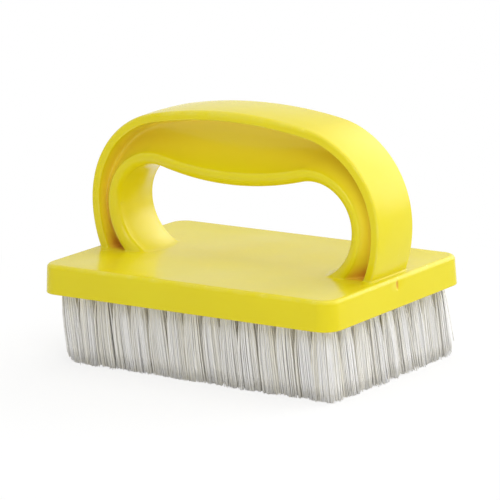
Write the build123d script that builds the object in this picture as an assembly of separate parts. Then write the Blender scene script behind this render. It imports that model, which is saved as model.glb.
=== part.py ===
"""Hand scrubbing brush with a moulded block and closed arch handle, and rows of stapled filament tufts.

Millimetres. +X runs along the brush, +Y across it and +Z up. The origin is the middle of the plane
that the bristle tips stand on.
"""

import math
import os

from build123d import *

# Block
block_length = 140.0
block_width = 95.0
block_thickness = 12.0
block_corner_radius = 7.0
block_draft_degrees = 2.9
block_top_round = 1.5

# Handle arch, with heights counted from the top of the block
handle_rise = 61.6
finger_clearance = 32.0
waist_height = 18.8
crown_radius = 195.0
grip_swell = 4.8
foot_setback = 4.2
leg_bulge = 3.7
leg_thickness = 12.7
foot_flare = 12.2
handle_depth_middle = 28.6
handle_depth_ends = 25.2
foot_root_depth = 7.0

# Handle section, an I beam whose rims are rounded most where the grip is deepest
outer_rim_width = 4.0
inner_rim_width = 4.4
web_thickness = 5.0
outer_edge_round = 3.0
inner_edge_round = 2.5
round_cut_back = 0.4
groove_slope_width = 6.5
groove_slope_height = 10.0

# Tuft field
bristle_length = 28.5
row_count = 15
tufts_per_row = 9
strands_per_tuft = 3
strand_sides = 3
field_border = 3.5
backing_thickness = 3.6
backing_clearance = 0.15
strand_radius = 1.7
tuft_root_radius = 1.95
tuft_tip_radius = 2.6
strand_root_depth = 0.8
strand_lean = 2.7
tip_ragged_height = 0.9
tip_trim = 0.5

# Flat wire anchors
anchor_length = 4.2
anchor_wire_thickness = 0.45
anchor_height = 2.0
anchor_clearance = 0.06
anchor_turn_degrees = 30.0

# Cutters run past the surfaces that they cut by this much
overrun = 1.0

# Heights
underside_z = bristle_length
block_top_z = underside_z + block_thickness
crown_z = block_top_z + handle_rise
grip_underside_z = block_top_z + finger_clearance
waist_z = block_top_z + waist_height

# Half lengths of the arch
foot_outer_x = block_length / 2 - foot_setback
waist_outer_x = foot_outer_x + leg_bulge
waist_inner_x = waist_outer_x - leg_thickness

# Tuft field, divided evenly into rows along the block and tufts across it
field_length = block_length - 2 * field_border
field_width = block_width - 2 * field_border
row_pitch = field_length / row_count
tuft_pitch = field_width / tufts_per_row

# The ragged ends step through a fraction of a turn that never repeats
golden_share = (math.sqrt(5) - 1) / 2


def sagitta_radius(half_chord, sagitta):
    """Radius of the arc whose tangent at one end is square to the sagitta."""
    return (half_chord**2 + sagitta**2) / (2 * sagitta)


def mirrored_outline(right_half):
    """Closed face from the edges of its right half, which start and end on the middle line."""
    left_half = [mirror(edge, about=Plane.YZ) for edge in right_half]
    return make_face(right_half + left_half)


def leg_arc_and_root(waist_x, radius, drop, floor_z):
    """Arc from the waist of a leg down to the block, then a straight root tangent to it."""
    centre_x = waist_x - radius
    angle = math.degrees(math.asin(drop / radius))
    arc = CenterArc((centre_x, waist_z), radius, 0, -angle)
    foot = arc @ 1
    root_run = (foot.Y - floor_z) * math.tan(math.radians(angle))
    root = Line(foot, (foot.X - root_run, floor_z))
    return arc, root


def outer_outline(inset, floor_z):
    """Outside of the arch, moved inwards by inset: crown, shoulders and tucked-in legs."""
    head = crown_z - waist_z
    shoulder_radius = (2 * crown_radius * head - head**2 - waist_outer_x**2) / (
        2 * (crown_radius - waist_outer_x)
    )
    shoulder_x = waist_outer_x - shoulder_radius
    crown_centre_z = crown_z - crown_radius
    join_angle = math.degrees(math.atan2(waist_z - crown_centre_z, shoulder_x))
    crown = CenterArc((0, crown_centre_z), crown_radius - inset, 90, join_angle - 90)
    shoulder = CenterArc((shoulder_x, waist_z), shoulder_radius - inset, join_angle, -join_angle)
    tuck_radius = sagitta_radius(waist_height, leg_bulge)
    leg, root = leg_arc_and_root(
        waist_outer_x - inset, tuck_radius - inset, waist_height, floor_z
    )
    floor = Line(root @ 1, (0, floor_z))
    return mirrored_outline([crown, shoulder, leg, root, floor])


def opening_outline(grow, floor_z):
    """Finger opening, moved outwards by grow: swelling grip above, round ends and flared feet."""
    rise = grip_underside_z - waist_z
    end_radius = rise + grip_swell
    end_x = waist_inner_x - end_radius
    swell_radius = (end_x**2 + rise**2 - end_radius**2) / (2 * grip_swell)
    swell_centre_z = grip_underside_z + swell_radius
    join_angle = math.degrees(math.atan2(swell_centre_z - waist_z, -end_x))
    swell = CenterArc((0, swell_centre_z), swell_radius - grow, -90, join_angle - 90)
    end = CenterArc((end_x, waist_z), end_radius + grow, join_angle, -join_angle)
    flare_radius = sagitta_radius(waist_height, foot_flare)
    leg, root = leg_arc_and_root(
        waist_inner_x + grow, flare_radius + grow, waist_height, floor_z
    )
    floor = Line(root @ 1, (0, floor_z))
    return mirrored_outline([swell, end, leg, root, floor])


def slab(outline, depth):
    """Solid of an outline in the plane of the arch, centred on that plane."""
    return extrude(Plane.XZ * outline, amount=depth / 2, both=True)


def barrel():
    """Upright solid whose plan gives the handle its depth: widest in the middle, slimmer at the ends."""
    side = ThreePointArc(
        (-waist_outer_x, handle_depth_ends / 2),
        (0, handle_depth_middle / 2),
        (waist_outer_x, handle_depth_ends / 2),
    )
    end = Line(side @ 1, (waist_outer_x, 0))
    half = [side, end, mirror(end, about=Plane.YZ)]
    plan = make_face(half + [mirror(edge, about=Plane.XZ) for edge in half])
    return extrude(Pos(0, 0, underside_z) * plan, amount=crown_z - underside_z + overrun)


def along_arch(edges):
    """The edges that run along the arch, without those straight across it or under its feet."""
    root_z = block_top_z - foot_root_depth
    return edges.filter_by(
        lambda edge: abs(edge.center().Y) > web_thickness and edge.center().Z > root_z + overrun
    )


def handle_arch():
    """Arch with rounded rims and a groove down each side, which leaves a thin web."""
    root_z = block_top_z - foot_root_depth
    rounded_depth = handle_depth_middle + 2 * round_cut_back
    blank = slab(outer_outline(0, root_z), rounded_depth)
    blank = fillet(along_arch(blank.edges()), radius=outer_edge_round)
    opening = slab(opening_outline(0, root_z - overrun), rounded_depth + overrun)
    arch = blank - opening
    arch = fillet(
        along_arch(new_edges(blank, opening, combined=arch)), radius=inner_edge_round
    )
    groove = far_groove()
    return (arch & barrel()) - groove - mirror(groove, about=Plane.XZ)


def far_groove():
    """What is taken out beyond the web: square under the outer rim and sloping up to the inner rim."""
    floor_z = block_top_z - foot_root_depth / 2
    below_z = floor_z - groove_slope_height - groove_slope_width
    web_y = web_thickness / 2
    web = slab(outer_outline(-groove_slope_width, below_z), web_thickness)
    inner_rim = slab(
        opening_outline(inner_rim_width, below_z - overrun), handle_depth_middle + 2 * overrun
    )
    kept = web + inner_rim
    foot_of_rim = new_edges(web, inner_rim, combined=kept).filter_by(
        lambda edge: abs(edge.center().Y - web_y) < overrun / 100
    )
    web_face = kept.faces().sort_by(lambda face: abs(face.center().Y - web_y))[0]
    kept = chamfer(
        foot_of_rim, length=groove_slope_width, length2=groove_slope_height, reference=web_face
    )
    band = slab(outer_outline(outer_rim_width, floor_z), handle_depth_middle + overrun)
    return (band - kept).solids().sort_by(Axis.Y)[-1]


def moulded_back():
    """Block and handle in one moulding, recessed underneath for the tuft rows."""
    outline = RectangleRounded(block_length, block_width, block_corner_radius)
    block = extrude(
        Pos(0, 0, underside_z) * outline, amount=block_thickness, taper=block_draft_degrees
    )
    block = fillet(block.edges().group_by(Axis.Z)[-1], radius=block_top_round)
    recess = Box(
        field_length,
        field_width,
        backing_thickness + overrun,
        align=(Align.CENTER, Align.CENTER, Align.MAX),
    )
    block -= Pos(0, 0, underside_z + backing_thickness) * recess
    return block + handle_arch()


def tuft_places(row):
    """Middles of the tufts of one row, at the underside of the block."""
    x = (row + 0.5) * row_pitch - field_length / 2
    return [
        Vector(x, (tuft + 0.5) * tuft_pitch - field_width / 2, underside_z)
        for tuft in range(tufts_per_row)
    ]


def strand(tuft, angle_degrees, end_height):
    """One leaning strand, from inside the backing to its flat-cut end."""
    outwards = Vector(1, 0, 0).rotate(Axis.Z, angle_degrees)
    top = tuft + outwards * tuft_root_radius + Vector(0, 0, strand_root_depth)
    end = tuft + outwards * tuft_tip_radius + Vector(strand_lean, 0, end_height - tuft.Z)
    section = Pos(top) * RegularPolygon(strand_radius, strand_sides, rotation=angle_degrees)
    run = end - top
    return extrude(section, amount=run.length, dir=run.normalized())


def end_height(number):
    """Height of a strand's end above the plane that the brush stands on."""
    ragged_share = (number * golden_share) % 1.0
    return max(0.0, ragged_share * tip_ragged_height - tip_trim)


def tuft_row(row):
    """Slice of the backing with one row of tufts fused to it, and a slot for each anchor."""
    places = tuft_places(row)
    backing = Pos(places[0].X, 0, underside_z) * Box(
        row_pitch - backing_clearance,
        field_width - 2 * backing_clearance,
        backing_thickness,
        align=(Align.CENTER, Align.CENTER, Align.MIN),
    )
    strands = []
    for tuft in places:
        for turn in range(strands_per_tuft):
            number = row * tufts_per_row * strands_per_tuft + len(strands)
            angle = 90 + turn * 360 / strands_per_tuft
            strands.append(strand(tuft, angle, end_height(number)))
    slots = [anchor(tuft, anchor_clearance) for tuft in places]
    return backing.fuse(*strands).cut(*slots)


def anchor(tuft, clearance):
    """Flat wire anchor across the fold of a tuft, grown all round by clearance."""
    height = anchor_height + 2 * clearance
    plate = Box(
        anchor_length + 2 * clearance,
        anchor_wire_thickness + 2 * clearance,
        height,
        align=(Align.CENTER, Align.CENTER, Align.MAX),
    )
    top = underside_z + backing_thickness - anchor_clearance + clearance
    return Pos(tuft.X, tuft.Y, top) * Rot(0, 0, anchor_turn_degrees) * plate


def anchor_row(row):
    """All anchors of one row, as separate solids."""
    return Compound(children=[anchor(tuft, 0) for tuft in tuft_places(row)])


def write(shape, name):
    """Save one sub-part."""
    shape.label = name
    export_step(shape, os.path.join("parts", name + ".step"))


os.makedirs("parts", exist_ok=True)
write(moulded_back(), "moulded_back")
for row in range(row_count):
    write(tuft_row(row), f"tuft_row_{row + 1:02d}")
    write(anchor_row(row), f"anchor_row_{row + 1:02d}")
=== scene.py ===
# %% [markdown]
# # A moulded scrubbing brush, dressed around its CAD frame
# The brush is one yellow moulding, a block with a closed arch handle, and 135 tufts of stiff pale
# filament that are stapled into its underside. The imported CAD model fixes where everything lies.
# This script makes the surfaces that the camera sees: a finely meshed moulding with all its rounds,
# and some three hundred separate filaments in every tuft. Everything is in metres in the end, but the
# brush's own sizes are easier to read in millimetres, so they are kept so and scaled once.

import math

import bmesh
import bpy
import numpy as np
from mathutils import Matrix, Vector


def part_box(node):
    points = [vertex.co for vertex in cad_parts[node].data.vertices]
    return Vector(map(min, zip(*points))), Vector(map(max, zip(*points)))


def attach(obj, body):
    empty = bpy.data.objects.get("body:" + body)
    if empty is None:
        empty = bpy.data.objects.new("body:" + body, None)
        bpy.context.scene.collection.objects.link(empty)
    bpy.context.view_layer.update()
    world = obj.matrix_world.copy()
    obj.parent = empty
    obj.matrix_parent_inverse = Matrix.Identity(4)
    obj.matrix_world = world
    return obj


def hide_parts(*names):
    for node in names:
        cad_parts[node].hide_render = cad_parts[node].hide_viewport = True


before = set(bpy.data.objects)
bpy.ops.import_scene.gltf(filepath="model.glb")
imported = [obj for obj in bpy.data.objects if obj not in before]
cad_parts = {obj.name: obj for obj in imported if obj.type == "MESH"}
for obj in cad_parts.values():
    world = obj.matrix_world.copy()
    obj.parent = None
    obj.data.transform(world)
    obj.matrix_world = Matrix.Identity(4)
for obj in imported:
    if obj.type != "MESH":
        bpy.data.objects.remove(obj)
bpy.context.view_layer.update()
MM = 0.001

# %% [markdown]
# ## Sizes
# The outer sizes, the rows and the height of the underside are read from the frame, so that the pieces
# can't drift away from what carries them. What the frame doesn't tell, such as the radii of the arch,
# is named here once. The names are the ones that a mould maker would use: the crown is the top of the
# arch, the waist is where its legs are widest, and the rims are the two flanges of its I section. The
# tufts bush out past their holes, so the holes are drilled a little further in than the CAD's.

# %% Sizes from the frame
back_low, back_high = (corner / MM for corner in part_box("moulded_back"))
row_names = sorted(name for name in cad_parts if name.startswith("tuft_row"))
anchor_names = sorted(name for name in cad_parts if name.startswith("anchor_row"))
first_low, first_high = (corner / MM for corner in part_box(row_names[0]))
second_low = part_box(row_names[1])[0] / MM

underside_z = back_low.z
crown_z = back_high.z
block_half_x = back_high.x
block_half_y = back_high.y
row_pitch = second_low.x - first_low.x
tufts_per_row = 9
backing_clearance = 0.15
drilled_in = 0.98
tuft_pitch = (first_high.y - first_low.y + 2 * backing_clearance) / tufts_per_row * drilled_in
row_places = [(low.x + high.x) / 2 / MM * drilled_in for low, high in map(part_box, anchor_names)]
print("rows:", len(row_places), "pitch", round(row_pitch, 2), "tuft pitch", round(tuft_pitch, 2))

# %% Sizes of the moulding
block_thickness = 12.0
block_corner_radius = 7.0
block_draft = math.tan(math.radians(2.9))
block_top_round = 1.7
block_bottom_round = 0.4

finger_clearance = 32.0
waist_height = 18.8
foot_setback = 4.2
leg_tuck = 3.7
leg_thickness = 13.6
foot_flare = 12.2
foot_round = 0.9
crown_radius = 195.0
grip_swell = 4.8
half_depth_middle = 14.3
half_depth_ends = 12.6

outer_rim_width = 4.0
inner_rim_width = 4.5
ridge_setback = 0.3
wall_draft = 0.5
scoop_width = 14.0
web_half = 2.5

block_top_z = underside_z + block_thickness
grip_underside_z = block_top_z + finger_clearance
waist_z = block_top_z + waist_height
waist_outer_x = block_half_x - foot_setback + leg_tuck
waist_inner_x = waist_outer_x - leg_thickness
print("block top", round(block_top_z, 2), "waist", round(waist_outer_x, 2), "crown", round(crown_z, 2))

# %% [markdown]
# ## The outlines of the arch
# The arch's outside and the finger opening are both chains of three tangent arcs on each side. An arc
# that is moved sideways stays an arc with the same centre, so every line along the handle, such as the
# edge of a rim or the foot of the groove, is one of these two chains at some offset. The offset is
# counted into the plastic in both cases. A chain gives a point for a share of its length from the
# waist to the middle, and a leg gives a point for a height.

# %% Chains of arcs
def radius_from_sagitta(half_chord, sagitta):
    """Radius of the arc that is square to its sagitta at one end."""
    return (half_chord**2 + sagitta**2) / (2 * sagitta)


class Chain:
    """Arcs from the waist to the middle of the arch, and the arc of the leg below the waist."""

    def __init__(self, arcs, leg_centre_x, leg_radius, leg_sign):
        self.arcs = arcs
        self.lengths = [radius * abs(end - start) for _, radius, start, end, _ in arcs]
        self.leg = (leg_centre_x, leg_radius, leg_sign)

    def at_share(self, share, offset):
        """Point (x, z) at a share of the length from the waist to the middle."""
        left = share * sum(self.lengths)
        for (centre, radius, start, end, sign), length in zip(self.arcs, self.lengths):
            if left <= length or (centre, radius) == self.arcs[-1][:2]:
                angle = start + (end - start) * min(left / length, 1.0)
                reach = radius + sign * offset
                return centre[0] + reach * math.cos(angle), centre[1] + reach * math.sin(angle)
            left -= length

    def at_height(self, z, offset):
        """Point (x, z) on the leg."""
        centre_x, radius, sign = self.leg
        reach = radius + sign * offset
        return centre_x + math.sqrt(reach**2 - (z - waist_z) ** 2), z


def outside_chain():
    """Crown and shoulder, with the tucked-in leg."""
    head = crown_z - waist_z
    shoulder = (2 * crown_radius * head - head**2 - waist_outer_x**2) / (
        2 * (crown_radius - waist_outer_x)
    )
    shoulder_x = waist_outer_x - shoulder
    crown_centre_z = crown_z - crown_radius
    join = math.atan2(waist_z - crown_centre_z, shoulder_x)
    tuck = radius_from_sagitta(waist_height, leg_tuck)
    arcs = [
        ((shoulder_x, waist_z), shoulder, 0.0, join, -1),
        ((0.0, crown_centre_z), crown_radius, join, math.pi / 2, -1),
    ]
    return Chain(arcs, waist_outer_x - tuck, tuck, -1)


def opening_chain():
    """Swelling grip and round end of the finger opening, with the flared leg."""
    rise = grip_underside_z - waist_z
    end_radius = rise + grip_swell
    end_x = waist_inner_x - end_radius
    swell = (end_x**2 + rise**2 - end_radius**2) / (2 * grip_swell)
    swell_centre_z = grip_underside_z + swell
    towards_end = math.atan2(waist_z - swell_centre_z, end_x)
    flare = radius_from_sagitta(waist_height, foot_flare)
    arcs = [
        ((end_x, waist_z), end_radius, 0.0, towards_end + math.pi, 1),
        ((0.0, swell_centre_z), swell, towards_end, -math.pi / 2, -1),
    ]
    return Chain(arcs, waist_inner_x - flare, flare, 1)


outside = outside_chain()
opening = opening_chain()
print("crown", outside.at_share(1, 0), "grip", opening.at_share(1, 0))

# %% [markdown]
# ## The section of the arch
# Cut across, the handle is an I: an outer rim, a web and an inner rim. The outer rim's wall stands
# nearly square on the web, with a fillet at its foot. The inner rim rises from the web in a hollow
# scoop and rolls over into the finger opening, and on the legs its face bulges towards the fingers.
# A section is a list of points. Each has its place on the chain that it belongs to, its distance from
# the middle plane, how exposed it is to wear, and its recess value, which the material turns into dirt
# and painted light and shade in the groove. Half of the section is listed, and the rest is its mirror
# image. The rounds change along the arch: the grip is soft in the middle, where the hand holds it, and
# crisper at the shoulders and on the legs.

# %% Section of the arch
outside_reach = 34.0
opening_reach = 42.0
outside_dome = 0.35
wall_edge = 0.7
ridge_edge = 1.2
grip_round_depth = 2.9
face_bulge = 1.5
widest_fillet = 2.4


def half_depth(x):
    """Distance from the middle plane to the side of the handle, which is a barrel seen from above."""
    bow = half_depth_middle - half_depth_ends
    radius = radius_from_sagitta(waist_outer_x, bow)
    return half_depth_middle - radius + math.sqrt(radius**2 - x**2)


def quarter(count):
    """Angles of a quarter turn, both ends included."""
    return np.linspace(0.0, math.pi / 2, count)


def middle_share(x, reach):
    """One at the middle of the handle, fading to nothing away from it."""
    return math.exp(-((x / reach) ** 2))


def bend(t, first, middle, last):
    """Curve that leaves the first place towards the middle one and ends at the last."""
    return (1 - t) ** 2 * first + 2 * t * (1 - t) * middle + t**2 * last


def flange_points(outer_point, side_y, foot_of_wall):
    """Outer rim, from the middle of its domed outside over its face to the foot of its wall."""
    outer_x, _ = outer_point(0)
    rounding = 0.9 + 1.8 * middle_share(outer_x, outside_reach)
    flat_y = side_y - rounding
    points = [(outer_point(0), 0.0, 0.1, 0.0)]
    for share in (0.2, 0.4, 0.6, 0.8, 0.95):
        points.append((outer_point(outside_dome * share**2), flat_y * share, 0.1, 0.0))
    for angle in quarter(8):
        place = outer_point(outside_dome + rounding * (1 - math.cos(angle)))
        points.append((place, flat_y + rounding * math.sin(angle), math.sin(2 * angle), 0.0))
    face_start = outside_dome + rounding
    face_end = outer_rim_width - wall_edge
    for share in (0.12, 0.5, 0.88):
        place = outer_point(face_start + (face_end - face_start) * share)
        points.append((place, side_y, 0.0, 0.0))
    for angle in quarter(5):
        place = outer_point(face_end + wall_edge * math.sin(angle))
        y = side_y - wall_edge + wall_edge * math.cos(angle)
        points.append((place, y, math.sin(2 * angle), 0.0))
    wall_top = side_y - wall_edge
    for share in (0.15, 0.4, 0.7):
        y = wall_top + (foot_of_wall - wall_top) * share
        points.append((outer_point(outer_rim_width + wall_draft * share), y, 0.0, 0.2 + share / 2))
    return points


def half_section(outer_point, inner_point):
    """Half of the section, from the outside to the opening, as ((x, z), y, wear, recess value)."""
    outer_x, _ = outer_point(0)
    inner_x, _ = inner_point(0)
    side_y = half_depth(outer_x)
    ridge_y = half_depth(inner_x) - ridge_setback
    swell = middle_share(inner_x, opening_reach)
    ridge = inner_rim_width + 1.3 * swell
    round_width = 3.0 + 1.2 * swell
    edge_rise = 0.6 * ridge_edge
    scoop_top = ridge_y - edge_rise

    def scoop_y(distance):
        """Height of the scoop over the middle plane, at a distance from the ridge."""
        share = max(0.0, 1 - distance / scoop_width)
        return web_half + (scoop_top - web_half) * share**2

    corner = np.array(outer_point(outer_rim_width + wall_draft))
    lift = np.array(outer_point(outer_rim_width + wall_draft * 0.85))
    run = np.array(inner_point(ridge)) - corner
    groove = math.hypot(*run)
    root = min(widest_fillet, 0.6 * groove)
    corner_y = scoop_y(groove)
    points = flange_points(outer_point, side_y, corner_y + root)

    reach = corner + run * root / groove
    reach_y = scoop_y(groove - root)
    # The last value of each point is its recess value, for dirt and painted groove shading: most at the
    # root fillet, fading up the scoop to the ridge.
    for t in np.linspace(0, 1, 7):
        x, z = bend(t, lift, corner, reach)
        y = bend(t, corner_y + root, corner_y, reach_y)
        points.append(((x, z), y, 0.0, 0.85 - 0.15 * abs(2 * t - 1)))
    for distance in np.linspace(groove - root, 0, 17)[1:]:
        x, z = corner + run * (1 - distance / groove)
        recess_shading_and_dirt = 0.7 * (distance / groove) ** (0.3 + 0.4 * swell)
        points.append(((x, z), scoop_y(distance), 0.0, recess_shading_and_dirt))
    for angle in quarter(6)[2:]:
        place = inner_point(ridge - ridge_edge * (1 - math.cos(angle)))
        y = scoop_top + edge_rise * math.sin(angle)
        points.append((place, y, 0.5 * math.sin(2 * angle), 0.0))
    for angle in quarter(12)[::-1]:
        place = inner_point(round_width * (1 - math.cos(angle)))
        y = ridge_y - grip_round_depth * (1 - math.sin(angle))
        points.append((place, y, 0.3 * math.sin(2 * angle), 0.0))
    flat_y = ridge_y - grip_round_depth
    bulge = face_bulge * (1 - swell)
    for share in (0.97, 0.8, 0.6, 0.4, 0.2, 0.0):
        points.append((inner_point(bulge * (share**2 - 0.95)), flat_y * share, 0.1, 0.0))
    return points


def whole_section(outer_point, inner_point):
    """Closed ring of (x, y, z, wear, recess value) around the handle."""
    half = half_section(outer_point, inner_point)
    near = [(x, -y, z, wear, recess_shading_and_dirt) for (x, z), y, wear, recess_shading_and_dirt in half]
    far = [(x, y, z, wear, recess_shading_and_dirt) for (x, z), y, wear, recess_shading_and_dirt in half[-2:0:-1]]
    return np.array(near + far)


# %% [markdown]
# ## The rings along the arch
# The sections are strung from one foot over the crown to the other foot. On the legs they lie flat, at
# heights that crowd together towards the block, because there the wall curves out into it: the foot's
# fillet is the section grown outwards by a little more at each lower height. Above the waist they fan
# round with the arch. The left half is the right half mirrored.

# %% Rings
def grown(ring, distance):
    """The flat ring with its outline moved outwards."""
    flat = ring[:, :2]
    along = np.roll(flat, -1, axis=0) - np.roll(flat, 1, axis=0)
    normal = np.stack([along[:, 1], -along[:, 0]], axis=1)
    normal /= np.maximum(np.linalg.norm(normal, axis=1, keepdims=True), 1e-9)
    area = np.sum(flat[:, 0] * np.roll(flat[:, 1], -1) - flat[:, 1] * np.roll(flat[:, 0], -1))
    result = ring.copy()
    result[:, :2] += normal * distance * math.copysign(1, area)
    return result


def leg_ring(height):
    """Level section at a height above the block."""
    z = block_top_z + height
    ring = whole_section(
        lambda offset: outside.at_height(z, offset), lambda offset: opening.at_height(z, offset)
    )
    ring[:, 2] = z
    return ring


def arch_rings(steps):
    """Rings from the right foot to the left foot."""
    rings = []
    for angle in quarter(7)[:-1]:
        height = foot_round * (1 - math.cos(angle))
        rings.append(grown(leg_ring(height), foot_round * (1 - math.sin(angle))))
    for height in np.linspace(foot_round, waist_height, 26)[:-1]:
        rings.append(leg_ring(height))
    for share in np.linspace(0, 1, steps):
        rings.append(
            whole_section(
                lambda offset: outside.at_share(share, offset),
                lambda offset: opening.at_share(share, offset),
            )
        )
    mirrored = [ring * np.array([-1, 1, 1, 1, 1]) for ring in rings[-2::-1]]
    return rings + mirrored


rings = arch_rings(96)
print("handle:", len(rings), "rings of", len(rings[0]), "points")

# %% [markdown]
# ## The block
# The block is a stack of rounded rectangles: a small round below, straight sides that lean in a little
# so that it leaves its mould, and a larger round above. Its top is one flat face with a hole for each
# foot, and its underside is one flat face with a hole for each tuft. Beside every edge there is a
# narrow flat band, which keeps the flat faces' shading flat right up to the round. A small nick in
# the middle of the right end is where the plastic was let into the mould.

# %% Block helpers
gate_y = 0.0
gate_drop = 3.0
gate_half_width = 0.6
gate_half_height = 1.5
gate_depth = 0.8
top_band = 0.5
underside_band = 0.4


def side_places(half, extra=()):
    """Places along a straight side, with a few closer ones where a detail needs them."""
    even = list(np.linspace(-half, half, 15))
    kept = [place for place in even if all(abs(place - other) > 1.2 for other in extra)]
    return sorted(kept + list(extra))


def block_ring(inset, z):
    """Rounded rectangle, anticlockwise from the front right corner."""
    radius = block_corner_radius - inset * 0.6
    half_x = block_half_x - inset - radius
    half_y = block_half_y - inset - radius
    near_gate = [gate_y + gate_half_width * step for step in (-2, -1, -0.5, 0, 0.5, 1, 2)]
    end_x, end_y = block_half_x - inset, block_half_y - inset
    sides = [
        [(end_x, y) for y in side_places(half_y, near_gate)],
        [(x, end_y) for x in side_places(half_x)[::-1]],
        [(-end_x, y) for y in side_places(half_y)[::-1]],
        [(x, -end_y) for x in side_places(half_x)],
    ]
    centres = [(half_x, half_y), (-half_x, half_y), (-half_x, -half_y), (half_x, -half_y)]
    ring = []
    for turn, (side, centre) in enumerate(zip(sides, centres)):
        ring += side
        for angle in np.linspace(turn, turn + 1, 12)[1:-1] * math.pi / 2:
            ring.append((centre[0] + radius * math.cos(angle), centre[1] + radius * math.sin(angle)))
    return np.array([(x, y, z, 0.0, 0.0) for x, y in ring])


def block_rings():
    """Rings from the flat of the underside to the flat of the top."""
    rings = [block_ring(block_bottom_round + underside_band, underside_z)]
    for angle in quarter(4):
        inset = block_bottom_round * (1 - math.sin(angle))
        ring = block_ring(inset, underside_z + block_bottom_round * (1 - math.cos(angle)))
        ring[:, 3] = 0.7 * math.sin(2 * angle)
        rings.append(ring)
    height_of_round = block_thickness - block_top_round
    heights = list(np.linspace(block_bottom_round, height_of_round, 14))[1:]
    for height in heights:
        rings.append(block_ring(height * block_draft, underside_z + height))
    start = height_of_round * block_draft
    for angle in quarter(8)[1:]:
        inset = start + block_top_round * (1 - math.cos(angle))
        ring = block_ring(inset, underside_z + height_of_round + block_top_round * math.sin(angle))
        ring[:, 3] = math.sin(2 * angle)
        rings.append(ring)
    rings.append(block_ring(start + block_top_round + top_band, block_top_z))
    for ring in rings:
        nick_end_face(ring)
    return rings


def nick_end_face(ring):
    """Press the gate's nick into the points of the right end that lie at it, with a recess value for
    painted shade.
    """
    across = (ring[:, 1] - gate_y) / gate_half_width
    upright = (ring[:, 2] - (block_top_z - gate_drop)) / gate_half_height
    strength = np.exp(-(across**2) - upright**4) * (ring[:, 0] > block_half_x - 3)
    ring[:, 0] -= gate_depth * strength
    ring[:, 4] = np.maximum(ring[:, 4], strength)


# %% [markdown]
# ## One watertight moulding
# The rings are joined by quads. The flat faces are filled by Blender's triangle fill, which finds the
# faces between closed loops of edges and leaves the loops inside them open, so the feet run into the
# block and the tuft holes into its underside without any joint. The wear that each point carries, and
# its recess value for dirt and painted groove shading, go into two attributes that the material reads.

# %% Build the moulding
hole_radius = 3.6
hole_depth = 6.0
hole_chamfer = 0.3
hole_sides = 20
hole_shading_and_dirt = 0.3
mouth_band = 0.3


class Builder:
    """Collects points and faces of one mesh, with the wear and the recess value of each point."""

    def __init__(self):
        self.mesh = bmesh.new()
        self.wear = self.mesh.verts.layers.float.new("wear")
        self.recess_shading_and_dirt = self.mesh.verts.layers.float.new("recess_shading_and_dirt")

    def loop(self, ring):
        """Add a ring of points."""
        made = []
        for x, y, z, wear, recess_shading_and_dirt in ring:
            vertex = self.mesh.verts.new((x, y, z))
            vertex[self.wear] = wear
            vertex[self.recess_shading_and_dirt] = recess_shading_and_dirt
            made.append(vertex)
        return made

    def bridge(self, first, second):
        """Quads between two loops of as many points."""
        count = len(first)
        for i in range(count):
            j = (i + 1) % count
            self.mesh.faces.new((first[i], first[j], second[j], second[i]))

    def strip(self, rings):
        """Join a row of rings, and return the first and last loop."""
        loops = [self.loop(ring) for ring in rings]
        for first, second in zip(loops, loops[1:]):
            self.bridge(first, second)
        return loops[0], loops[-1]

    def flat_fill(self, loops, upwards):
        """Fill the flat region between closed loops."""
        edges = []
        for loop in loops:
            for i, vertex in enumerate(loop):
                following = loop[(i + 1) % len(loop)]
                edge = self.mesh.edges.get((vertex, following))
                edges.append(edge or self.mesh.edges.new((vertex, following)))
        made = bmesh.ops.triangle_fill(
            self.mesh, edges=edges, use_beauty=True, normal=(0, 0, 1 if upwards else -1)
        )
        return made["geom"]


def hole_rings(x, y):
    """Chamfered blind hole for one tuft, from the flat band around its mouth to its floor."""
    turn = np.linspace(0, 2 * math.pi, hole_sides, endpoint=False)
    stages = [
        (hole_radius + hole_chamfer + mouth_band, 0.0, 0.0),
        (hole_radius + hole_chamfer, 0.0, 0.4),
        (hole_radius, hole_chamfer, 0.4),
        (hole_radius, hole_depth, 0.0),
    ]
    rings = []
    for radius, depth, wear in stages:
        circle = (x + radius * np.cos(turn), y + radius * np.sin(turn))
        columns = (*circle, underside_z + depth, wear, hole_shading_and_dirt)
        rings.append(np.stack(np.broadcast_arrays(*columns), axis=1))
    return rings


def moulding_mesh():
    """Handle and block as one closed mesh, in millimetres."""
    builder = Builder()
    right_foot = grown(rings[0], top_band)
    left_foot = right_foot * np.array([-1, 1, 1, 1, 1])
    right_loop, left_loop = builder.strip([right_foot] + rings + [left_foot])
    under_loop, top_loop = builder.strip(block_rings())
    builder.flat_fill([top_loop, right_loop, left_loop], True)
    mouths = []
    for x in row_places:
        for tuft in range(tufts_per_row):
            y = (tuft + 0.5 - tufts_per_row / 2) * tuft_pitch
            mouth, floor = builder.strip(hole_rings(x, y))
            builder.mesh.faces.new(floor)
            mouths.append(mouth)
    builder.flat_fill([under_loop] + mouths, False)
    bmesh.ops.recalc_face_normals(builder.mesh, faces=builder.mesh.faces)
    return builder.mesh


def new_object(name, data):
    """Object in the scene, from a mesh, lamp or camera."""
    made = bpy.data.objects.new(name, data)
    bpy.context.scene.collection.objects.link(made)
    return made


def as_piece(made, name):
    """Object in metres from a mesh in millimetres."""
    bmesh.ops.scale(made, vec=(MM, MM, MM), verts=made.verts)
    mesh = bpy.data.meshes.new(name)
    made.to_mesh(mesh)
    made.free()
    mesh.shade_smooth()
    return new_object(name, mesh)


moulding = moulding_mesh()
open_edges = sum(1 for edge in moulding.edges if not edge.is_manifold)
print("moulding:", len(moulding.faces), "faces,", open_edges, "open edges")
back = as_piece(moulding, "back_moulding")

# %% [markdown]
# ## Nodes with Python's signs
# The materials, the world and the bristles are all trees of nodes, linked from outputs to inputs.
# Written out link by link, such a tree is hard to read. So a small class stands for a node's output,
# and a sign between two of them adds the Math node that it means and links both to it.

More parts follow.
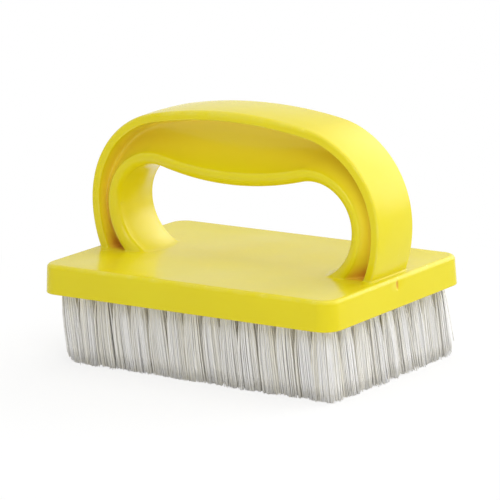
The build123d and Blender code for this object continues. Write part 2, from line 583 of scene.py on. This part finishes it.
# %% Node helpers
class Field:
    """Output of a node. Python's signs between fields and numbers add Math nodes."""

    def __init__(self, socket):
        self.socket = socket
        self.tree = socket.id_data

    def __add__(self, other):
        return maths("ADD", self, other)

    def __sub__(self, other):
        return maths("SUBTRACT", self, other)

    def __rsub__(self, other):
        return maths("SUBTRACT", other, self)

    def __mul__(self, other):
        return maths("MULTIPLY", self, other)

    def __truediv__(self, other):
        return maths("DIVIDE", self, other)

    def __rtruediv__(self, other):
        return maths("DIVIDE", other, self)

    def __pow__(self, other):
        return maths("POWER", self, other)

    def __abs__(self):
        return maths("ABSOLUTE", self)


def set_inputs(node, values):
    """Link or set a node's inputs, given by name or number."""
    for key, value in values.items():
        if isinstance(value, Field):
            value.tree.links.new(value.socket, node.inputs[key])
        else:
            node.inputs[key].default_value = value


def new_node(tree, kind, inputs=None, **settings):
    """Node of a kind, with its properties set and its inputs linked or set."""
    node = tree.nodes.new(kind)
    for key, value in settings.items():
        setattr(node, key, value)
    set_inputs(node, inputs or {})
    return node


def new_field(tree, kind, inputs=None, output=0, **settings):
    """Output of a new node, by name or number."""
    return Field(new_node(tree, kind, inputs, **settings).outputs[output])


def tree_of(values):
    """Tree that the fields among some values belong to."""
    return next(value.tree for value in values if isinstance(value, Field))


def maths(operation, *values):
    """Math node of fields and numbers."""
    inputs = dict(enumerate(values))
    return new_field(tree_of(values), "ShaderNodeMath", inputs, operation=operation)


def vector_maths(operation, *values):
    """Vector Math node of fields and vectors. A length comes out as a number."""
    inputs = dict(enumerate(values))
    output = "Value" if operation == "LENGTH" else "Vector"
    return new_field(tree_of(values), "ShaderNodeVectorMath", inputs, output, operation=operation)


def parts(vector):
    """The three numbers of a vector or colour."""
    node = new_node(vector.tree, "ShaderNodeSeparateXYZ", {0: vector})
    return [Field(socket) for socket in node.outputs]


# %% [markdown]
# ## Yellow moulded plastic
# The plastic is opaque polypropylene: a strong yellow with a soft, slightly waxy gloss. Its colour
# hardly changes over the part, so the life is in small things: faint flow marks, a fine grain from the
# mould, a haze of rubbing on the block's top whose pale streaks are partly a painted sheen, and edges
# that handling has made paler and duller. The groove turns a lighter tan, painted bounce light with
# some dirt in it, and a brown painted shade lies where the groove meets the rim on the legs and at
# their feet. A little light goes into the plastic, which a small subsurface share gives. The base
# colour stays near the written one, so that a scene can repaint it.

# %% Material helpers
def new_material(name):
    """Empty node material with a Principled shader on its output."""
    material = bpy.data.materials.new(name)
    material.use_nodes = True
    tree = material.node_tree
    tree.nodes.clear()
    shader = new_node(tree, "ShaderNodeBsdfPrincipled")
    new_node(tree, "ShaderNodeOutputMaterial", {"Surface": Field(shader.outputs["BSDF"])})
    return material, tree, shader


def attribute(tree, name):
    """Value that the mesh's points carry under a name."""
    return new_field(tree, "ShaderNodeAttribute", output="Fac", attribute_name=name)


def object_place(tree):
    """Place on the object, in metres."""
    return new_field(tree, "ShaderNodeTexCoord", output="Object")


def noise(place, scale, detail=3.0, roughness=0.5):
    """Noise texture at a place, as a value."""
    inputs = {"Vector": place, "Scale": scale, "Detail": detail, "Roughness": roughness}
    return new_field(place.tree, "ShaderNodeTexNoise", inputs, "Fac")


def ramp(value, low, high, to_low=0.0, to_high=1.0, **settings):
    """Clamped remap of a value from low..high, which may fall, to 0..1 or another range."""
    inputs = {"Value": value, "From Min": low, "From Max": high, "To Min": to_low, "To Max": to_high}
    return new_field(value.tree, "ShaderNodeMapRange", inputs, "Result", **settings)


def mixed(share, first, second):
    """Colour between two, each a field or a colour."""
    inputs = {"Factor": share, 6: first, 7: second}
    return new_field(share.tree, "ShaderNodeMix", inputs, 2, data_type="RGBA")


def bumped(layers):
    """Chain of bump nodes, from (height, strength, distance in metres)."""
    below = {}
    for height, strength, distance in layers:
        inputs = {"Height": height, "Strength": strength, "Distance": distance, **below}
        below = {"Normal": new_field(height.tree, "ShaderNodeBump", inputs, "Normal")}
    return below["Normal"]


# %% Yellow plastic
yellow = (0.735, 0.635, 0.005, 1.0)
deep_yellow = (0.72, 0.61, 0.004, 1.0)
pale_yellow = (0.80, 0.75, 0.30, 1.0)
# Painted bounce light with some dirt: the groove turns this lighter, warmer tan.
groove_bounce_tan = (0.92, 0.70, 0.07, 1.0)
# Painted shade: a brown for the groove's creases on the legs and at the feet.
crease_shade_brown = (0.72, 0.30, 0.05, 1.0)
sheen_haze_share, wear_share, groove_bounce_share, crease_shade_share = 0.1, 0.25, 0.95, 0.7


def over_block(*heights):
    """Heights in metres, from millimetres over the block's top."""
    return [(block_top_z + height) * MM for height in heights]


# Band over the block's top for the pale streaks, partly a rubbed haze and partly painted sheen.
sheen_haze_from, sheen_haze_full, sheen_haze_fades, sheen_haze_ends = over_block(-0.5, -0.1, 0.2, 0.9)
# Heights below which the painted brown shade comes in, on the legs and at the feet.
corner_shade_ends, corner_shade_full = over_block(34.5, 14.5)
foot_shade_ends, foot_shade_full = over_block(6.5, 1.5)


def yellow_plastic():
    """Glossy polypropylene with flow marks, mould grain, worn edges, a partly painted sheen on the
    block's top, and dirt with painted light and shade in the grooves.
    """
    material, tree, shader = new_material("yellow_polypropylene")
    place = object_place(tree)
    _, _, height = parts(place)
    wear, recess_shading_and_dirt = attribute(tree, "wear"), attribute(tree, "recess_shading_and_dirt")
    flow = noise(place, 22.0, 1.0, 0.4)
    waves = noise(place, 60.0, 1.0)
    blotch = noise(place, 170.0)
    scuffs = noise(place, 420.0, 6.0, 0.75)
    grain = noise(place, 2600.0, 2.0)
    stretched = vector_maths("MULTIPLY", place, (0.6, 1.3, 1.0))
    clouds = ramp(noise(stretched, 36.0, 1.0, 0.4), 0.35, 0.75)

    body = mixed(ramp(flow, 0.35, 0.65), yellow, deep_yellow)
    # Painted sheen, partly a rubbed haze: pale cloudy streaks on the block's top stand for streaks in
    # its gloss.
    sheen_haze = clouds * (ramp(height, sheen_haze_from, sheen_haze_full) * ramp(height, sheen_haze_ends, sheen_haze_fades))
    body = mixed(sheen_haze * sheen_haze_share, body, pale_yellow)
    worn = wear * ramp(blotch, 0.3, 0.8)
    body = mixed(worn * wear_share, body, pale_yellow)
    # Painted bounce light: the groove's recesses go over into a lighter tan, with some dirt in it.
    body = mixed(recess_shading_and_dirt * groove_bounce_share, body, groove_bounce_tan)
    # Painted shade: brown darkening at the groove's root on the legs, blotched, and near the feet, in
    # the tuft holes and in the nick.
    corner = ramp(recess_shading_and_dirt, 0.72, 0.85) * ramp(height, corner_shade_ends, corner_shade_full)
    foot = ramp(recess_shading_and_dirt, 0.1, 0.6) * ramp(height, foot_shade_ends, foot_shade_full)
    crease_shade = maths("MAXIMUM", corner * ramp(blotch, 0.2, 0.6), foot)
    body = mixed(crease_shade * crease_shade_share, body, crease_shade_brown)

    dull = ramp(scuffs, 0.5, 0.8) * 0.12 + 0.19
    relief = [
        (flow, 0.5, 0.003),
        (waves, 0.06, 0.0008),
        (scuffs, 0.02, 0.00015),
        (grain, 0.03, 0.00005),
    ]
    shading = {
        "Base Color": body,
        "Roughness": worn * 0.1 + dull,
        "IOR": 1.49,
        "Specular IOR Level": 0.3,
        "Subsurface Weight": 0.1,
        "Subsurface Radius": (1.0, 0.7, 0.15),
        "Subsurface Scale": 0.0015,
        "Normal": bumped(relief),
    }
    set_inputs(shader, shading)
    return material


back.data.materials.append(yellow_plastic())
print("yellow material:", len(back.data.materials[0].node_tree.nodes), "nodes")

# %% [markdown]
# ## Filament
# Each filament is a stiff, off-white monofilament. Light goes on through real filaments from one to the
# next, which leaves the depth of a tuft warm. Prisms as thin as these come out dark with light inside
# them, so the surface is plain, and the filaments behind the outer rows get a warmer colour instead.
# Every filament has its own tone, and it is dirtier towards its cut tip. The tone, the place along the
# filament and the shade are attributes that the node tree below writes.

# %% Filament material
clean = (0.985, 0.98, 0.975, 1.0)
soiled = (0.95, 0.92, 0.82, 1.0)
sheltered = (0.985, 0.92, 0.73, 1.0)
shelter_share, dirt_share = 0.85, 0.8


def filament_material():
    """Off-white filament, warmer inside the field and dirtier at its tip."""
    material, tree, shader = new_material("white_filament")
    tone, along, shade = (attribute(tree, name) for name in ("tone", "along", "shade"))
    streak = noise(object_place(tree), 420.0)
    body = mixed(ramp(tone, 0.0, 0.7), soiled, clean)
    body = mixed(shade * shelter_share, body, sheltered)
    dirt = ramp(along, 0.72, 1.0) * ramp(streak, 0.4, 0.7)
    shading = {
        "Base Color": mixed(dirt * dirt_share, body, soiled),
        "Roughness": streak * 0.2 + 0.35,
        "IOR": 1.5,
        "Specular IOR Level": 0.4,
        "Normal": bumped([(streak, 0.1, 0.0001)]),
    }
    set_inputs(shader, shading)
    return material


filament = filament_material()
print("filament material:", len(filament.node_tree.nodes), "nodes")

# %% [markdown]
# ## Tufts by Geometry Nodes
# A tuft is a bundle of filaments folded into one hole, so its filaments start packed in a disc. They
# bush out at once below the block, until the tufts fill the field like tiles. The rule is the same for
# all of them, which makes it work for Geometry Nodes: the tree lays out one point for each filament of
# a row, works out from the point's number which tuft it belongs to and where in it, puts one thin
# three-sided prism on each point, and then bends the prisms from their roots to their tips. Chance is
# added in three sizes, for tufts, for clumps and for single filaments, because real bristles cling
# together in clumps. The ends at the left and the back are worn round. All sizes are named inputs.

# %% Geometry helpers
def named_inputs(start, kind, *names):
    """Named inputs of a geometry tree, all of one kind."""
    for name in names:
        start.id_data.interface.new_socket(name, in_out="INPUT", socket_type="NodeSocket" + kind)
    return [Field(start.outputs[name]) for name in names]


def clamped(value):
    """The value, kept between nothing and one."""
    return maths("MINIMUM", maths("MAXIMUM", value, 0.0), 1.0)


def combine(x, y, z):
    """Vector from three numbers."""
    return new_field(tree_of((x, y, z)), "ShaderNodeCombineXYZ", {"X": x, "Y": y, "Z": z})


def scaled(vector, factor):
    """Vector times a number."""
    inputs = {0: vector, "Scale": factor}
    return new_field(vector.tree, "ShaderNodeVectorMath", inputs, operation="SCALE")


def moved(place, *moves):
    """Place with one move after the other added."""
    for move in moves:
        place = vector_maths("ADD", place, move)
    return place


def chance(identity, seed, low, high):
    """Random number, the same for one identity. Adding to the seed gives another draw."""
    inputs = {"ID": identity, "Seed": seed}
    node = new_node(identity.tree, "FunctionNodeRandomValue", inputs, data_type="FLOAT")
    limits = {"Min_001": low, "Max_001": high}
    for socket in node.inputs:
        if socket.identifier in limits:
            socket.default_value = limits[socket.identifier]
    return Field(next(socket for socket in node.outputs if socket.identifier == "Value_001"))


def chance_level(identity, seed, reach):
    """Random level vector within a reach each way."""
    x = chance(identity, seed, -1.0, 1.0)
    y = chance(identity, seed + 51.0, -1.0, 1.0)
    return scaled(combine(x, y, 0.0), reach)


def worn_height(distance, radius):
    """Height of a rounded-off end at a distance from it."""
    inside = 1.0 - clamped(distance / radius)
    return (1.0 - maths("SQRT", 1.0 - inside**2.0)) * radius


def keep(geometry, **fields):
    """Capture fields on a geometry's points, and return it with the captured fields."""
    kind, inputs = "GeometryNodeCaptureAttribute", {"Geometry": geometry}
    node = new_node(geometry.tree, kind, inputs, domain="POINT")
    for name, field in fields.items():
        node.capture_items.new("VECTOR" if field.socket.type == "VECTOR" else "FLOAT", name)
        set_inputs(node, {name: field})
    return Field(node.outputs["Geometry"]), [Field(node.outputs[name]) for name in fields]


# %% Tuft row tree
golden_turn = math.pi * (3 - math.sqrt(5))
turn_between_tufts = 1.7
stray_power = 2.5
straight_share = 0.55
bush_power = 3.0
tuft_unevenness, clump_unevenness, own_unevenness = 0.25, 0.6, 0.35
even_share = 0.35
full_shade = 0.8
unit_prism = {"Vertices": 3, "Side Segments": 5, "Radius": 1.0, "Depth": 1.0}


def tuft_row_tree():
    """Tree that grows one row of tufts down from the block."""
    tree = bpy.data.node_groups.new("tuft_row", "GeometryNodeTree")
    for side in ("INPUT", "OUTPUT"):
        tree.interface.new_socket("Geometry", in_out=side, socket_type="NodeSocketGeometry")
    start = tree.nodes.new("NodeGroupInput")
    tufts, filaments, seed = named_inputs(start, "Int", "Tufts", "Filaments in a tuft", "Seed")
    (material,) = named_inputs(start, "Material", "Material")
    row_x, pitch, disc, root_z, thickness, lean, splay, bow, ragged = named_inputs(
        start, "Float", "Row X", "Tuft pitch", "Root radius", "Root height",
        "Filament radius", "Lean", "Splay", "Bow", "Ragged tips",
    )
    tuft_scatter, clump_scatter, filament_scatter, clump_size, clump_pull = named_inputs(
        start, "Float", "Tuft scatter", "Clump scatter", "Filament scatter", "Clump size", "Clump pull"
    )
    worn_x, worn_y, worn_radius, outer_x, outer_y, shelter = named_inputs(
        start, "Float", "Worn end X", "Worn end Y", "Worn end radius",
        "Outer row X", "Outer row Y", "Shelter depth",
    )

    # Which tuft a filament belongs to, and its root in that tuft's disc. The golden turn between one
    # filament and the next spreads them evenly.
    number = new_field(tree, "GeometryNodeInputIndex")
    tuft = maths("FLOOR", (number + 0.5) / filaments)
    within = number - tuft * filaments
    turn = within * golden_turn + tuft * turn_between_tufts
    cosine, sine = maths("COSINE", turn), maths("SINE", turn)
    reach = maths("SQRT", (within + 0.5) / filaments) * disc
    outwards = combine(reach * cosine, reach * sine, 0.0)
    centre_y = (tuft - (tufts - 1.0) * 0.5) * pitch
    root = moved(combine(row_x, centre_y, root_z), outwards)

    # The disc bushes out to a square, and clumps are the cells of a Voronoi pattern at the roots.
    square = (splay + 1.0) / maths("MAXIMUM", abs(cosine), abs(sine))
    spread = scaled(outwards, square - 1.0)
    cells = new_node(tree, "ShaderNodeTexVoronoi", {"Vector": root, "Scale": 1.0 / clump_size})
    clump_middle, clump_colour = (Field(cells.outputs[name]) for name in ("Position", "Color"))
    to_clump = scaled(vector_maths("SUBTRACT", clump_middle, root), clump_pull)
    to_clump = vector_maths("MULTIPLY", to_clump, (1.0, 1.0, 0.0))
    clump_chance = vector_maths("SUBTRACT", clump_colour, (0.5, 0.5, 0.5))
    clump_chance = vector_maths("MULTIPLY", clump_chance, (2.0, 2.0, 0.0))
    clump_red, _, clump_blue = parts(clump_colour)

    # The run is how far the tip goes sideways, and the side is how far the middle bows out.
    stray = chance(number, seed + 29.0, 0.0, 1.0) ** stray_power
    run = moved(
        combine(lean, 0.0, 0.0),
        to_clump,
        scaled(clump_chance, clump_scatter),
        chance_level(tuft, seed, tuft_scatter),
        chance_level(number, seed, stray * filament_scatter),
    )
    side = moved(scaled(clump_chance, bow), chance_level(number, seed, bow))

    # Tips end on the floor's plane, apart from short ones and the worn ends.
    tip_x, tip_y, _ = parts(moved(root, run, spread))
    worn_left = worn_height(tip_x - worn_x, worn_radius)
    worn_back = worn_height(worn_y - tip_y, worn_radius)
    rough_tuft = chance(tuft, seed + 3.0, 0.0, tuft_unevenness)
    rough_clump = clump_blue**2.0 * clump_unevenness
    rough_one = chance(number, seed + 7.0, 0.0, own_unevenness)
    uneven = maths("MAXIMUM", rough_tuft + (rough_clump + rough_one) - even_share, 0.0)
    drop = root_z - (maths("MAXIMUM", worn_left, worn_back) + ragged * uneven)

    # Shade is full inside the field and none at its edge, and each filament has its own tone.
    root_x, root_y, _ = parts(root)
    past = maths("MAXIMUM", abs(root_x) - outer_x, abs(root_y) - outer_y)
    shade = clamped(full_shade - past / shelter)
    tone = clump_red * 0.5 + chance(number, seed + 17.0, 0.0, 0.5)

    # Plant a prism on each point. The names go on as the values that are kept on the points.
    points = new_field(tree, "GeometryNodePoints", {"Count": tufts * filaments})
    points, (root, spread, run, side, drop, tone, shade) = keep(
        points, root=root, spread=spread, run=run, side=side, drop=drop, tone=tone, shade=shade
    )
    prism = new_field(tree, "GeometryNodeMeshCylinder", unit_prism, "Mesh", fill_type="NGON")
    here = new_field(tree, "GeometryNodeInputPosition")
    _, _, height = parts(here)
    ring = vector_maths("MULTIPLY", here, (1.0, 1.0, 0.0))
    prism, (along, ring) = keep(prism, along=0.5 - height, ring=ring)
    inputs = {"Points": points, "Instance": prism}
    planted = new_field(tree, "GeometryNodeInstanceOnPoints", inputs)
    solid = new_field(tree, "GeometryNodeRealizeInstances", {"Geometry": planted})

    # Bend the prisms: the tuft bushes out near the roots, and the lean grows towards the tips.
    place = moved(
        root,
        scaled(ring, thickness),
        scaled(spread, 1.0 - (1.0 - along) ** bush_power),
        scaled(run, along * straight_share + along**2.0 * (1 - straight_share)),
        scaled(side, maths("SINE", along * math.pi)),
        combine(0.0, 0.0, drop * along * -1.0),
    )
    solid = new_field(tree, "GeometryNodeSetPosition", {"Geometry": solid, "Position": place})
    store = "GeometryNodeStoreNamedAttribute"
    for name, value in (("tone", tone), ("along", along), ("shade", shade)):
        inputs = {"Geometry": solid, "Name": name, "Value": value}
        solid = new_field(tree, store, inputs, data_type="FLOAT", domain="POINT")
    solid = new_field(tree, "GeometryNodeSetShadeSmooth", {"Geometry": solid})
    solid = new_field(tree, "GeometryNodeSetMaterial", {"Geometry": solid, "Material": material})
    new_node(tree, "NodeGroupOutput", {0: solid})
    return tree


# %% Grow the rows
tuft_sizes = {
    "Tufts": tufts_per_row,
    "Tuft pitch": tuft_pitch * MM,
    "Root radius": 3.3 * MM,
    "Filaments in a tuft": 320,
    "Filament radius": 0.19 * MM,
    "Root height": (underside_z + 4.0) * MM,
    "Lean": 2.9 * MM,
    "Splay": 0.28,
    "Tuft scatter": 0.5 * MM,
    "Clump size": 1.9 * MM,
    "Clump pull": 0.12,
    "Clump scatter": 0.4 * MM,
    "Filament scatter": 1.3 * MM,
    "Bow": 0.3 * MM,
    "Ragged tips": 1.8 * MM,
    "Worn end X": (row_places[0] - 0.6) * MM,
    "Worn end Y": 42.6 * MM,
    "Worn end radius": 4.8 * MM,
    "Outer row X": row_places[-1] * MM,
    "Outer row Y": (tufts_per_row - 1) / 2 * tuft_pitch * MM,
    "Shelter depth": 3.0 * MM,
    "Material": filament,
}


def grow_row(tree, name, row_x, seed):
    """One row of tufts as a plain mesh object."""
    host = new_object(name + "_host", bpy.data.meshes.new(name + "_host"))
    modifier = host.modifiers.new("tufts", "NODES")
    modifier.node_group = tree
    identifiers = {item.name: item.identifier for item in tree.interface.items_tree}
    for key, value in {**tuft_sizes, "Row X": row_x * MM, "Seed": seed}.items():
        modifier[identifiers[key]] = value
    graph = bpy.context.evaluated_depsgraph_get()
    mesh = bpy.data.meshes.new_from_object(host.evaluated_get(graph), depsgraph=graph)
    mesh.name = name
    host.modifiers.remove(modifier)
    bpy.data.objects.remove(host)
    return new_object(name, mesh)


tree = tuft_row_tree()
bristle_rows = []
for number, row_x in enumerate(row_places, 1):
    bristle_rows.append(grow_row(tree, f"bristles_{number:02d}", row_x, 100 + 23 * number))
bristle_faces = sum(len(piece.data.polygons) for piece in bristle_rows)
print("bristles:", bristle_faces, "faces in", len(bristle_rows), "rows")

# %% [markdown]
# ## Anchors
# The flat wire anchors lie at the bottoms of the holes, where nothing shows them, so their CAD shapes
# stay. They still get their own finish: drawn steel with fine lines along the wire.

# %% Anchor wire
dark_steel = (0.55, 0.55, 0.53, 1.0)
pale_steel = (0.66, 0.66, 0.65, 1.0)


def anchor_steel():
    """Drawn flat wire."""
    material, tree, shader = new_material("anchor_steel")
    drawn = {"Vector": object_place(tree), "Scale": (1.0, 1.0, 20.0)}
    lines = noise(new_field(tree, "ShaderNodeMapping", drawn), 900.0, 2.0)
    shading = {
        "Base Color": mixed(lines, dark_steel, pale_steel),
        "Metallic": 1.0,
        "Roughness": ramp(lines, -0.6, 2.0),
        "Normal": bumped([(lines, 0.2, 0.00005)]),
    }
    set_inputs(shader, shading)
    return material


steel = anchor_steel()
for name in anchor_names:
    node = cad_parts[name]
    node.data.materials.clear()
    node.data.materials.append(steel)
print("anchors:", len(anchor_names), "rows in", steel.name)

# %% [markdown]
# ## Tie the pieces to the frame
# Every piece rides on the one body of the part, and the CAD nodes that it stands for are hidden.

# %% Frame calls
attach(back, "root")
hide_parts("moulded_back")
for piece, name in zip(bristle_rows, row_names):
    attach(piece, "root")
    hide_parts(name)

# %% [markdown]
# ## Floor, light and camera
# The floor is white to the camera and in reflections, but keeps the shadow. The fill is a weaker even
# light from all round. Behind the brush is one soft bright window, which lays the broad highlights on
# the shoulder and the block's top. It is a smooth bump in the world's strength, because a lamp's hard
# edge would show in the gloss. A small key light comes from the front right, and two softboxes light
# the right end and the top, which leaves the front a little deeper in colour.

# %% Floor
floor_half_size = 3.0
shadow_within = 0.08
white_beyond = 0.22
white_in_shadow = 0.75


def seen_directly(tree):
    """One for the rays that show a surface itself, and nothing for the light that it sheds."""
    path = new_node(tree, "ShaderNodeLightPath")
    names = ("Is Camera Ray", "Is Glossy Ray", "Is Transmission Ray")
    camera, glossy, through = (Field(path.outputs[name]) for name in names)
    return maths("MAXIMUM", maths("MAXIMUM", camera, glossy), through)


def white_floor():
    """Floor that goes over into plain white around the shadow on it."""
    material, tree, shader = new_material("studio_floor")
    shading = {"Base Color": (0.9, 0.9, 0.9, 1.0), "Roughness": 0.9, "Specular IOR Level": 0.0}
    set_inputs(shader, shading)
    distance = vector_maths("LENGTH", object_place(tree))
    whiteness = ramp(distance, shadow_within, white_beyond, white_in_shadow, 1.0)
    white = new_field(tree, "ShaderNodeEmission")
    share = seen_directly(tree) * whiteness
    layers = {"Fac": share, 1: Field(shader.outputs["BSDF"]), 2: white}
    output = next(node for node in tree.nodes if node.type == "OUTPUT_MATERIAL")
    set_inputs(output, {"Surface": new_field(tree, "ShaderNodeMixShader", layers)})
    return material


def floor_plane():
    """Wide level floor at the bristle tips."""
    mesh = bpy.data.meshes.new("floor")
    half = floor_half_size
    corners = [(-half, -half, 0), (half, -half, 0), (half, half, 0), (-half, half, 0)]
    mesh.from_pydata(corners, [], [(0, 1, 2, 3)])
    mesh.materials.append(white_floor())
    return new_object("floor", mesh)


floor = floor_plane()
print("floor:", 2 * floor_half_size, "m wide")

# %% Light
window_middle = (0.3, 0.8, 0.38)
window_squeeze = (1.3, 1.0, 1.8)
window_ends = 1.0
window_full = 0.35


def soft_light(name, direction, distance, size, power):
    """Square soft light that faces the brush from a direction."""
    data = bpy.data.lights.new(name, "AREA")
    data.shape = "SQUARE"
    data.size = size
    data.energy = power
    light = new_object(name, data)
    middle = Vector((0.0, 0.0, 0.05))
    out = Vector(direction).normalized()
    light.location = middle + out * distance
    light.rotation_euler = out.to_track_quat("Z", "Y").to_euler()


def studio_world(even, window):
    """White to the camera and in reflections, a weaker fill all round, and a soft bright window."""
    world = bpy.data.worlds.new("studio")
    world.use_nodes = True
    tree = world.node_tree
    tree.nodes.clear()
    direction = new_field(tree, "ShaderNodeTexCoord", output="Generated")
    away = vector_maths("SUBTRACT", direction, window_middle)
    distance = vector_maths("LENGTH", vector_maths("MULTIPLY", away, window_squeeze))
    bright = ramp(
        distance, window_ends, window_full, 0.0, window, interpolation_type="SMOOTHSTEP"
    )
    level = ramp(seen_directly(tree), 0.0, 1.0, even, 1.0)
    background = new_field(tree, "ShaderNodeBackground", {"Strength": level + bright})
    new_node(tree, "ShaderNodeOutputWorld", {"Surface": background})
    bpy.context.scene.world = world


soft_light("key", (0.54, -0.57, 0.62), 0.7, 0.35, 1.3)
soft_light("right_softbox", (1.0, -0.15, 0.12), 1.1, 0.8, 0.5)
soft_light("top_softbox", (0.0, 0.1, 1.0), 1.1, 0.9, 3.3)
studio_world(0.76, 3.2)
print("lamps:", len(bpy.data.lights))

# %% Camera
def photo_camera():
    """Long lens from the front right, a little above, as the photograph was taken."""
    azimuth = math.radians(35.556)
    elevation = math.radians(12.924)
    roll = math.radians(-1.791)
    distance = 1.323
    pixels_per_unit = 3283.0
    frame_pixels = 500.0
    aim = Vector((-0.01017, 0.014185, 0.03989))
    level = math.cos(elevation)
    back_axis = Vector(
        (math.sin(azimuth) * level, -math.cos(azimuth) * level, math.sin(elevation))
    )
    level_x = Vector((0, 0, 1)).cross(back_axis).normalized()
    level_y = back_axis.cross(level_x)
    x_axis = math.cos(roll) * level_x + math.sin(roll) * level_y
    y_axis = -math.sin(roll) * level_x + math.cos(roll) * level_y
    data = bpy.data.cameras.new("camera")
    data.sensor_width = 36.0
    data.lens = pixels_per_unit / frame_pixels * data.sensor_width
    data.clip_start = 0.05
    data.clip_end = 20.0
    camera = new_object("camera", data)
    turned = Matrix((x_axis, y_axis, back_axis)).transposed().to_4x4()
    camera.matrix_world = Matrix.Translation(aim + back_axis * distance) @ turned
    bpy.context.scene.camera = camera


photo_camera()
bpy.context.scene.view_settings.view_transform = "Standard"
print("lens:", round(bpy.context.scene.camera.data.lens), "mm")
